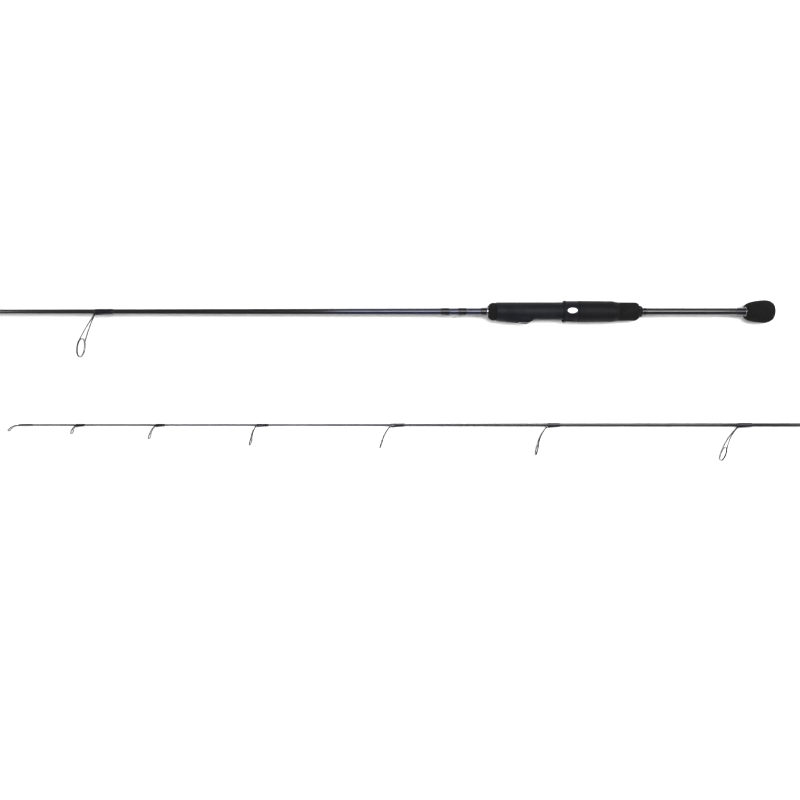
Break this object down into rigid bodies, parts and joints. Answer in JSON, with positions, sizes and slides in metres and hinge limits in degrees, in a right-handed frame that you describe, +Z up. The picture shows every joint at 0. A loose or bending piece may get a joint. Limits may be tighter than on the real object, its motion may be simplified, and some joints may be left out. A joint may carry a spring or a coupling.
{
  "type": "spinning rod",
  "caption": "Two-section spinning rod taken apart: slim tapered blanks with wire-framed line guides, a screw-locking reel seat, a short foam butt knob and a push-in ferrule.",
  "frame": {"origin": "middle of the space that the two sections fill, on the surface that they lie on", "axes": "+X runs along both sections from tip to butt, +Y from the tip section to the butt section (guides point to -Y), +Z up from the surface"},
  "size_m": [1.1646, 0.1937, 0.0274],
  "materials": {
    "carbon_blank": "gloss",
    "spigot_carbon": "satin",
    "thread_wrap": "gloss",
    "guide_frame": "satin",
    "small_guide_frame": "satin",
    "ring_ceramic": "gloss",
    "keeper_wire": "polished",
    "seat_polymer": "satin",
    "arbor_foam": "matte",
    "hood_polymer": "satin",
    "badge": "gloss",
    "spring_steel": "satin",
    "nut_polymer": "matte",
    "grip_foam": "matte",
    "check_aluminium": "polished"
  },
  "bodies": {
    "butt_section": {"butt_blank": "carbon_blank", "butt_check_ring": "check_aluminium", "butt_ferrule_wrap": "thread_wrap", "butt_grip": "grip_foam", "butt_grip_wrap": "thread_wrap", "ferrule_spigot": "spigot_carbon", "front_check_ring": "check_aluminium", "front_grip_ring": "grip_foam", "hook_keeper": "keeper_wire", "keeper_front_wrap": "thread_wrap", "keeper_rear_wrap": "thread_wrap", "rear_trim_wrap": "thread_wrap", "reel_seat_body": "seat_polymer", "seat_front_arbor": "arbor_foam", "seat_front_wrap": "thread_wrap", "seat_rear_arbor": "arbor_foam", "stripper_guide_frame": "guide_frame", "stripper_guide_ring": "ring_ceramic", "stripper_guide_wrap": "thread_wrap"},
    "moving_hood": {"moving_hood": "hood_polymer", "hood_badge": "badge", "hood_retaining_clip": "spring_steel"},
    "locking_nut": {"locking_nut": "nut_polymer", "nut_grip_sleeve": "grip_foam", "nut_end_cap": "nut_polymer"},
    "tip_section": {"tip_blank": "carbon_blank", "tip_ferrule_wrap": "thread_wrap", "guide_1_frame": "guide_frame", "guide_1_ring": "ring_ceramic", "guide_1_wrap": "thread_wrap", "guide_2_frame": "guide_frame", "guide_2_ring": "ring_ceramic", "guide_2_wrap": "thread_wrap", "guide_3_frame": "small_guide_frame", "guide_3_ring": "ring_ceramic", "guide_3_wrap": "thread_wrap", "guide_4_frame": "small_guide_frame", "guide_4_ring": "ring_ceramic", "guide_4_wrap": "thread_wrap", "guide_5_frame": "small_guide_frame", "guide_5_ring": "ring_ceramic", "guide_5_wrap": "thread_wrap", "guide_6_frame": "small_guide_frame", "guide_6_ring": "ring_ceramic", "guide_6_wrap": "thread_wrap", "tip_top_tube": "small_guide_frame", "tip_top_frame": "small_guide_frame", "tip_top_ring": "ring_ceramic", "tip_top_wrap": "thread_wrap"}
  },
  "joints": [
    {"name": "hood_slide", "type": "slide", "parent": "butt_section", "child": "moving_hood", "axis": [1, 0, 0], "range_m": [0, 0.024]},
    {"name": "nut_turn", "type": "hinge", "parent": "moving_hood", "child": "locking_nut", "pos_m": [0.2535, 0.0831, 0.0137], "axis": [1, 0, 0], "range_deg": [0, 3456]},
    {"name": "tip_section_slide", "type": "slide", "parent": "butt_section", "child": "tip_section", "axis": [1, 0, 0], "range_m": [-1.0546, 0]}
  ],
  "couplings": [
    {"joint": "hood_slide", "follows": "nut_turn", "m_per_rad": 0.00039789}
  ]
}
